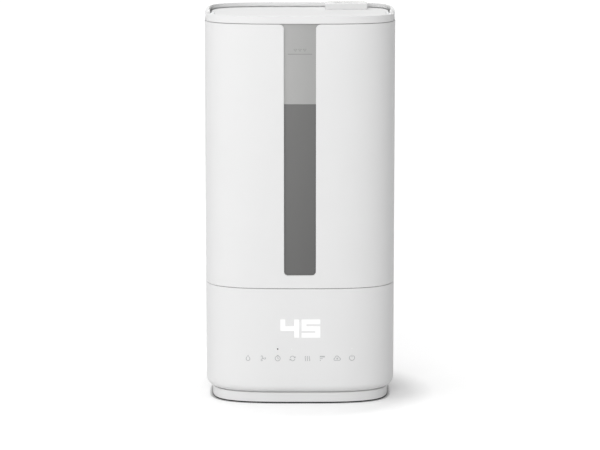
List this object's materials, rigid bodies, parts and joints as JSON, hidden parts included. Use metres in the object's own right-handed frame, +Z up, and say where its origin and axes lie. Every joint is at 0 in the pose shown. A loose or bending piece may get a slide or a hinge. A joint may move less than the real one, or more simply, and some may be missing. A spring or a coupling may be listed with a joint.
{
  "type": "cool mist humidifier",
  "caption": "Tall upright cool mist humidifier with a powered base, lift-off tank with a see-through strip, folding carry handle, lid and square mist nozzle.",
  "frame": {"origin": "on the floor at the centre of the footprint, under the four rubber feet", "axes": "+Z up, front (display and window strip) towards -Y, +X to the right seen from the front"},
  "size_m": [0.2, 0.136, 0.4148],
  "materials": {
    "casing_white": "satin injection-moulded ABS",
    "plinth_white": "fine-textured moulded ABS",
    "trough_white": "smooth moulded polypropylene",
    "smoked_clear": "clear smoked moulded plastic, polished tool",
    "rubber_grey": "matt moulded rubber",
    "silicone": "soft translucent silicone",
    "steel": "zinc-plated and plain steel",
    "aluminium": "plain extruded and stamped aluminium",
    "black_plastic": "glass-filled black moulding",
    "impeller_grey": "moulded polypropylene",
    "board_green": "solder mask on glass-fibre board",
    "filter_foam": "open-cell foam",
    "piezo_brass": "plated piezo disc",
    "float_amber": "foamed polypropylene",
    "duct_grey": "moulded polypropylene"
  },
  "bodies": {
    "base": {"base_housing": "casing_white", "bottom_cover": "plinth_white", "dust_filter": "filter_foam", "rubber_feet": "rubber_grey", "base_screws": "steel", "water_basin": "trough_white", "transducer_disc": "piezo_brass", "transducer_seal": "silicone", "transducer_plate": "aluminium", "transducer_screws": "steel", "float_cap": "trough_white", "blower_housing": "black_plastic", "blower_cover": "black_plastic", "fan_motor": "steel", "air_duct": "duct_grey", "control_board": "board_green", "display_module": "black_plastic", "touch_pads": "rubber_grey", "sensor_lens": "black_plastic", "power_board": "board_green", "power_parts": "black_plastic", "heat_sink": "aluminium", "dc_inlet": "black_plastic", "inlet_pin": "steel"},
    "fan": {"impeller": "impeller_grey", "fan_shaft": "steel"},
    "float": {"float_ring": "float_amber"},
    "tank": {"tank_sleeve": "casing_white", "tank_vessel": "smoked_clear", "mist_duct": "smoked_clear", "tank_collar": "trough_white", "handle_pins": "steel", "valve_body": "trough_white", "valve_spring": "steel"},
    "valve": {"valve_plunger": "trough_white", "valve_seal": "silicone"},
    "handle": {"handle": "casing_white"},
    "lid": {"lid": "casing_white", "lid_liner": "trough_white", "lid_seal": "silicone"},
    "nozzle": {"mist_nozzle": "casing_white"}
  },
  "joints": [
    {"name": "tank_lift", "type": "slide", "parent": "base", "child": "tank", "axis": [0, 0, 1], "range_m": [0, 0.12]},
    {"name": "handle_fold", "type": "hinge", "parent": "tank", "child": "handle", "pos_m": [0, -0.024, 0.4069], "axis": [1, 0, 0], "range_deg": [0, 90]},
    {"name": "lid_lift", "type": "slide", "parent": "tank", "child": "lid", "axis": [0, 0, 1], "range_m": [0, 0.06]},
    {"name": "nozzle_lift", "type": "slide", "parent": "lid", "child": "nozzle", "axis": [0, 0, 1], "range_m": [0, 0.02]},
    {"name": "valve_close", "type": "slide", "parent": "tank", "child": "valve", "axis": [0, 0, -1], "range_m": [0, 0.004], "deforming": ["valve_spring"]},
    {"name": "float_rise", "type": "slide", "parent": "base", "child": "float", "axis": [0, 0, 1], "range_m": [0, 0.008]},
    {"name": "fan_spin", "type": "hinge", "parent": "base", "child": "fan", "pos_m": [-0.042, 0.005, 0], "axis": [0, 0, 1], "continuous": true}
  ],
  "couplings": [
    {"joint": "valve_close", "follows": "tank_lift", "ratio": 0.033333}
  ]
}
